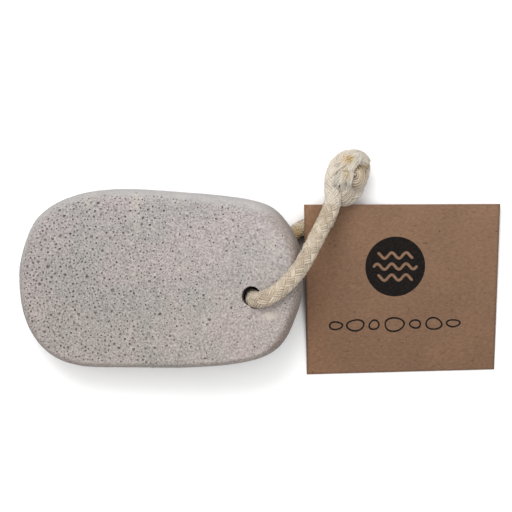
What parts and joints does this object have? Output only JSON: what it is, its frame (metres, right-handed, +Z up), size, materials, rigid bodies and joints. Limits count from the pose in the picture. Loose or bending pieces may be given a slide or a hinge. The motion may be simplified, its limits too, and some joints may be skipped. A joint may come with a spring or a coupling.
{
  "type": "pumice stone on a rope loop",
  "caption": "Rounded oblong pumice stone with a bored hole, a knotted loop of braided cotton rope and a kraft card swing tag.",
  "frame": {"origin": "on the table, under the middle of the box round the stone and the card as they lie", "axes": "+X from the stone to the card, +Y along the card from its lower to its upper edge, +Z up"},
  "size_m": [0.1693, 0.0793, 0.0334],
  "materials": {
    "pumice": "ground, open-pored, matt",
    "cotton_rope": "braided undyed cotton",
    "kraft_card": "uncoated kraft, matt"
  },
  "bodies": {
    "root": {"pumice_stone": "pumice", "rope_loop": "cotton_rope", "rope_knot": "cotton_rope", "card_tag": "kraft_card"}
  },
  "joints": []
}
